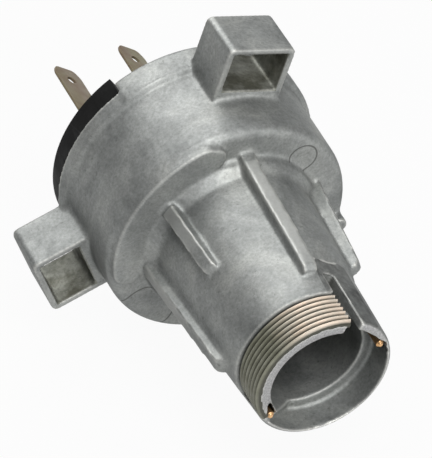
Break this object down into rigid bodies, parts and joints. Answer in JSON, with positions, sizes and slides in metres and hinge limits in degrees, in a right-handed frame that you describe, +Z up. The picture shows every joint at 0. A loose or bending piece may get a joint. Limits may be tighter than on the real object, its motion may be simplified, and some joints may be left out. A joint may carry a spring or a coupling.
{
  "type": "ignition switch",
  "caption": "Die-cast ignition switch: drum body with two square lugs, ribbed threaded barrel for a lock cylinder, blade terminals at the rear.",
  "frame": {"origin": "centre of the barrel's front rim, on the barrel's axis, where the switch is fixed in its panel", "axes": "+Y along the barrel's axis from the front rim to the blade terminals, +Z up, +X to the right seen from the front"},
  "size_m": [0.0559, 0.0777, 0.0558],
  "materials": {
    "zinc_casting": "satin as-cast zinc, slightly mottled",
    "black_phenolic": "matte moulded phenolic",
    "tarnished_brass": "dull tarnished brass",
    "contact_brass": "plain brass",
    "copper_pin": "coppery brass",
    "brown_moulding": "moulded brown phenolic",
    "spring_steel": "bright spring wire"
  },
  "bodies": {
    "body": {"housing": "zinc_casting", "terminal_plate": "black_phenolic", "thrust_washer": "contact_brass", "return_spring": "spring_steel", "front_pin_1": "copper_pin", "front_pin_2": "copper_pin", "terminal_1": "tarnished_brass", "contact_rivet_1": "contact_brass", "terminal_2": "tarnished_brass", "contact_rivet_2": "contact_brass", "terminal_3": "tarnished_brass", "contact_rivet_3": "contact_brass", "terminal_4": "tarnished_brass", "contact_rivet_4": "contact_brass", "terminal_5": "tarnished_brass", "contact_rivet_5": "contact_brass"},
    "turning_parts": {"rotor": "brown_moulding", "contact_plate": "contact_brass", "contact_spring_1": "spring_steel", "contact_spring_2": "spring_steel", "contact_spring_3": "spring_steel", "detent_ball": "spring_steel", "detent_spring": "spring_steel"}
  },
  "joints": [
    {"name": "rotor_turn", "type": "hinge", "parent": "body", "child": "turning_parts", "pos_m": [0, 0.04, 0], "axis": [0, 1, 0], "range_deg": [-40, 75]}
  ]
}
